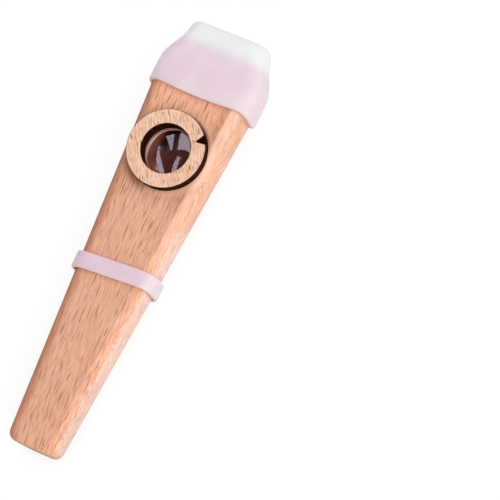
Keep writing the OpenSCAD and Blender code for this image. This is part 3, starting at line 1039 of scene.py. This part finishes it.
def plain_mesh(source, tree, name):
    """Runs a Geometry Nodes tree on a source mesh and returns its result as a plain mesh."""
    holder = bpy.data.objects.new(name + "_source", source)
    bpy.context.scene.collection.objects.link(holder)
    modifier = holder.modifiers.new("made", "NODES")
    modifier.node_group = tree
    for item in tree.interface.items_tree:
        if item.in_out == "INPUT" and item.socket_type == "NodeSocketFloat":
            modifier[item.identifier] = item.default_value
    graph = bpy.context.evaluated_depsgraph_get()
    mesh = bpy.data.meshes.new_from_object(holder.evaluated_get(graph))
    mesh.name = name
    bpy.data.objects.remove(holder)
    return mesh


def band():
    """The silicone band, with a clear lining on the wood."""
    path = band_path()
    source = bpy.data.meshes.new("band_line")
    source.from_pydata(path, [(k, (k + 1) % len(path)) for k in range(len(path))], [])
    outside = silicone_finish("band_silicone", *LILACS)
    inside = silicone_finish("band_lining", *LILACS, lining=True)
    mesh = plain_mesh(source, sweep_tree(outside), "silicone_band")
    join_corners(mesh, OWN_JOIN, outward=True)
    smooth(mesh, sharp=60)
    mark_rim_highlights(mesh, math.inf)
    new_piece("silicone_band", mesh, "band", [outside, inside], "band")
    for face in mesh.polygons:
        face.material_index = int(looks_in(face, BAND_LINING_FACING))


# The camera and the studio

# The camera, fitted to the photo: its place, its turn in degrees, and its sensor and lens in mm
CAMERA_AT = mm(-76.866, -200.056, 566.373)
CAMERA_TURN = (14.9422, 11.5107, -64.0338)
SENSOR = 36
LENS = 156.507

# The sky: its light and how much of it a gloss shows, how high its white rim is, and what a gloss shows there
SKY_LIGHT = 0.55
SKY_GLOSS = 0.04
RIM_HEIGHT = 0.6
RIM_GLOSS = 0.5

# The lamps: their name, place, aim, size and power
LAMPS = [
    ("side_softbox", (-0.05, -0.75, 0.75), (0, 0, 0), (0.8, 0.8), 4.6),
    ("end_softbox", (0.8, 0.1, 0.85), (0, 0, 0), (0.6, 0.6), 1.9),
    ("foot_softbox", (-0.8, -0.1, 0.7), (0, 0, 0), (0.6, 0.6), 0.8),
    ("film_lamp", (0.105, 0.1, 1.0), (0.025, 0, 0.014), (0.16, 0.16), 1.0),
]

# The paper: what the lamps light of the white that the camera sees, that white in all, half width and level
PAPER_SHARE = 0.25
PAPER_SEEN = 1.04
PAPER_HALF = 3.0
PAPER_LEVEL = -0.05 * MM


def camera():
    """The camera at the photograph's viewing angle."""
    lens = bpy.data.cameras.new("camera")
    lens.sensor_width = SENSOR
    lens.lens = LENS
    holder = bpy.data.objects.new("camera", lens)
    holder.location = CAMERA_AT
    holder.rotation_euler = Euler([math.radians(a) for a in CAMERA_TURN])
    bpy.context.scene.collection.objects.link(holder)
    bpy.context.scene.camera = holder


def area_lamp(name, at, aim, size, power):
    """A soft lamp that faces the place it is aimed at."""
    lamp = bpy.data.lights.new(name, "AREA")
    lamp.shape = "RECTANGLE"
    lamp.size, lamp.size_y = size
    lamp.energy = power
    holder = bpy.data.objects.new(name, lamp)
    holder.location = at
    holder.rotation_euler = (Vector(aim) - Vector(at)).to_track_quat("-Z", "Y").to_euler()
    bpy.context.scene.collection.objects.link(holder)


def studio():
    """Soft lamps, and a sky that lights the object evenly and shows white near the horizon."""
    scene = bpy.context.scene
    scene.view_settings.view_transform = "Standard"
    world = bpy.data.worlds.new("studio")
    scene.world = world
    world.use_nodes = True
    tree = world.node_tree
    sky = tree.nodes["Background"]
    sky.inputs["Color"].default_value = WHITE

    def maths(operation, a, b):
        """One step of arithmetic."""
        return add_node(tree, "ShaderNodeMath", {0: a, 1: b}, operation=operation).outputs[0]

    ray = add_node(tree, "ShaderNodeLightPath").outputs
    gloss = ray["Is Glossy Ray"]
    heading = add_node(tree, "ShaderNodeTexCoord").outputs["Generated"]
    low = maths("LESS_THAN", add_node(tree, "ShaderNodeSeparateXYZ", {0: heading}).outputs[2], RIM_HEIGHT)
    seen = maths("MAXIMUM", maths("MAXIMUM", ray["Is Camera Ray"], gloss), ray["Is Transmission Ray"])
    white = maths("MULTIPLY", seen, low)
    dimmed = maths("SUBTRACT", SKY_LIGHT, maths("MULTIPLY", gloss, SKY_LIGHT - SKY_GLOSS))
    dimmed = maths("MULTIPLY", dimmed, maths("SUBTRACT", 1, white))
    white = maths("MULTIPLY", white, maths("SUBTRACT", 1, maths("MULTIPLY", gloss, 1 - RIM_GLOSS)))
    feed(tree, sky.inputs["Strength"], maths("ADD", dimmed, white))
    for name, at, aim, size, power in LAMPS:
        area_lamp(name, at, aim, size, power)


def floor():
    """White paper under the object, which glows a little to the camera, so that only a soft shadow shows."""
    corners = [(-1, -1), (1, -1), (1, 1), (-1, 1)]
    points = [(x * PAPER_HALF, y * PAPER_HALF, PAPER_LEVEL) for x, y in corners]
    mesh = mesh_of("floor", points, [(0, 1, 2, 3)])
    piece = bpy.data.objects.new("floor", mesh)
    bpy.context.scene.collection.objects.link(piece)
    paper = Finish("white_paper", Roughness=0.9, Specular_IOR_Level=0.0, Emission_Color=WHITE)
    seen = paper.node("LightPath").outputs["Is Camera Ray"]
    colour = paper.mix(seen, shade(248, 248, 248), (PAPER_SHARE, PAPER_SHARE, PAPER_SHARE, 1.0))
    paper.drive(Base_Color=colour, Emission_Strength=paper.maths("MULTIPLY", seen, PAPER_SEEN - PAPER_SHARE))
    mesh.materials.append(paper.material)


# The making

camera()
studio()
floor()
wooden_body()
ring_flange()
kept_node("ring_spigot", spigot_finish())
kept_node("membrane_carrier", carrier_finish())
membrane_film()
mouthpiece()
band()
